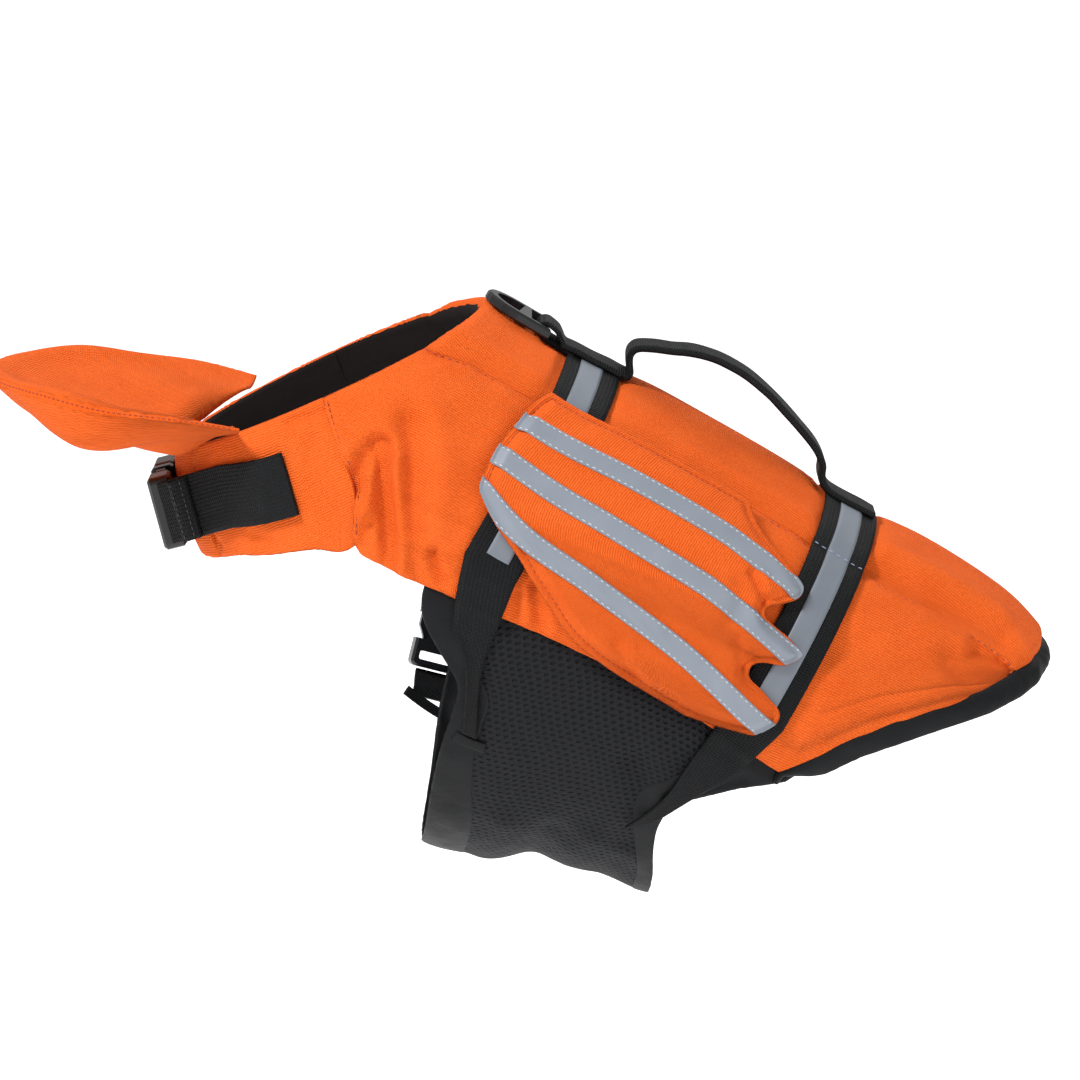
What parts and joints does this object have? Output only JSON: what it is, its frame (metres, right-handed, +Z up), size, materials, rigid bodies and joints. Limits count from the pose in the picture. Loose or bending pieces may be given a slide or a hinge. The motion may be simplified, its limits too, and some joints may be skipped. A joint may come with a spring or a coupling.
{
  "type": "dog life jacket",
  "caption": "Padded life jacket for a dog, fastened and hollow as worn: back saddle with side wings, chin float, netting belly panel, grab handle and hinged leash ring.",
  "frame": {"origin": "on the inner face of the back panel, on the middle line under the front band, where the wearer's back carries the jacket", "axes": "X runs level from nose to tail, +Z is up, the wearer's left side is at -Y; the back line falls 30 degrees towards the tail as in the picture"},
  "size_m": [0.4744, 0.1913, 0.273],
  "materials": {
    "orange_cloth": "matt woven polyester over foam",
    "reflective_tape": "grey reflective tape, satin",
    "black_webbing": "ribbed black webbing",
    "black_cloth": "smooth black woven cloth",
    "black_netting": "black spacer netting",
    "black_plastic": "moulded black acetal, slightly glossy"
  },
  "bodies": {
    "jacket": {"back_panel": "orange_cloth", "side_panel_left": "orange_cloth", "side_panel_right": "orange_cloth", "collar_left": "orange_cloth", "collar_right": "orange_cloth", "chest_panel": "orange_cloth", "chin_float": "orange_cloth", "wing_left": "orange_cloth", "wing_right": "orange_cloth", "wing_tape_1_left": "reflective_tape", "wing_tape_1_right": "reflective_tape", "wing_tape_2_left": "reflective_tape", "wing_tape_2_right": "reflective_tape", "wing_tape_3_left": "reflective_tape", "wing_tape_3_right": "reflective_tape", "front_band": "black_webbing", "front_tape": "reflective_tape", "rear_band": "black_webbing", "rear_tape": "reflective_tape", "belly_front": "black_cloth", "belly_net": "black_netting", "belly_rear": "black_cloth", "rear_binding": "black_cloth", "spine_strap": "black_webbing", "handle": "black_webbing", "ring_loop": "black_webbing", "neck_buckle_socket": "black_plastic", "neck_buckle_plug": "black_plastic", "neck_strap_left": "black_webbing", "neck_strap_right": "black_webbing", "neck_strap_end": "black_webbing", "front_strap_left": "black_webbing", "rear_strap_left": "black_webbing", "front_strap_seam": "black_cloth", "front_far_strap_seam": "black_cloth", "rear_far_strap_seam": "black_cloth", "front_buckle_socket": "black_plastic", "front_buckle_plug": "black_plastic", "front_strap_right_upper": "black_webbing", "front_strap_right_lower": "black_webbing", "rear_buckle_socket": "black_plastic", "rear_buckle_plug": "black_plastic", "rear_strap_right_upper": "black_webbing", "rear_strap_right_lower": "black_webbing"},
    "ring": {"leash_ring": "black_plastic"}
  },
  "joints": [
    {"name": "leash_ring_hinge", "type": "hinge", "parent": "jacket", "child": "ring", "pos_m": [-0.01615, 0, 0.02392], "axis": [0, 1, 0], "range_deg": [0, 115]}
  ]
}
